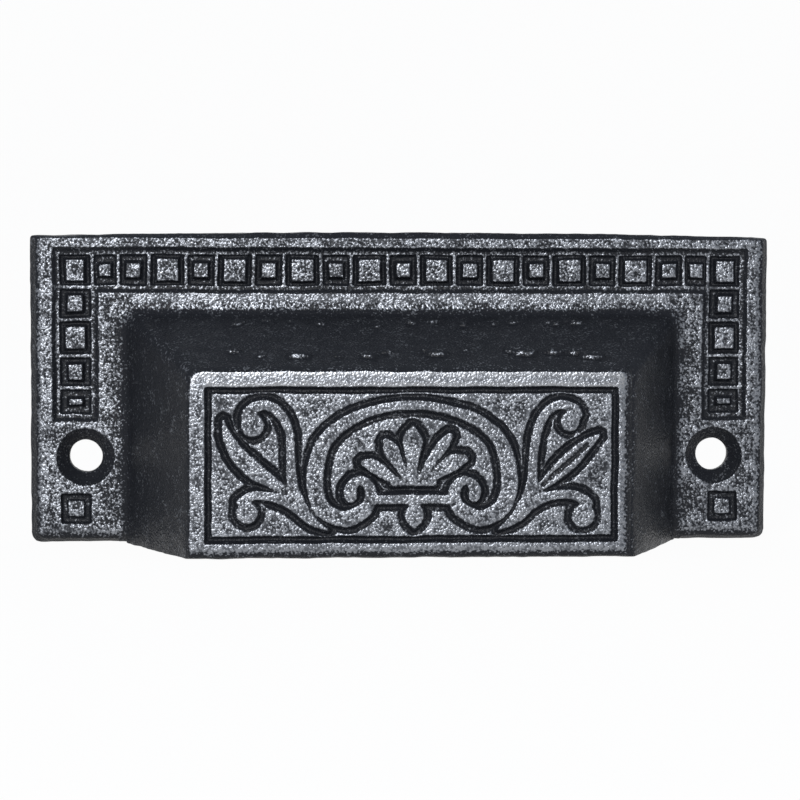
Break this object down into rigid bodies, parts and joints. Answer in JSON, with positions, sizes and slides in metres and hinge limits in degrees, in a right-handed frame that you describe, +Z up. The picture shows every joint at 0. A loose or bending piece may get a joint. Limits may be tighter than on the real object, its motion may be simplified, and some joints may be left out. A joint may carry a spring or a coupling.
{
  "type": "cup pull",
  "caption": "Cast iron cup pull with a flat back plate, a band of square pads, countersunk screw holes and a sloping finger hood with a scroll and palmette relief.",
  "frame": {"origin": "midway between the two screw holes, on the back face of the plate", "axes": "+X along the plate to the right as seen from the front, +Y out of the back face into the drawer front, +Z up; the hood opens downwards"},
  "size_m": [0.1056, 0.022, 0.0442],
  "materials": {
    "black_iron": "black semi-gloss paint over a sand-cast surface"
  },
  "bodies": {
    "root": {"cup_pull": "black_iron"}
  },
  "joints": []
}
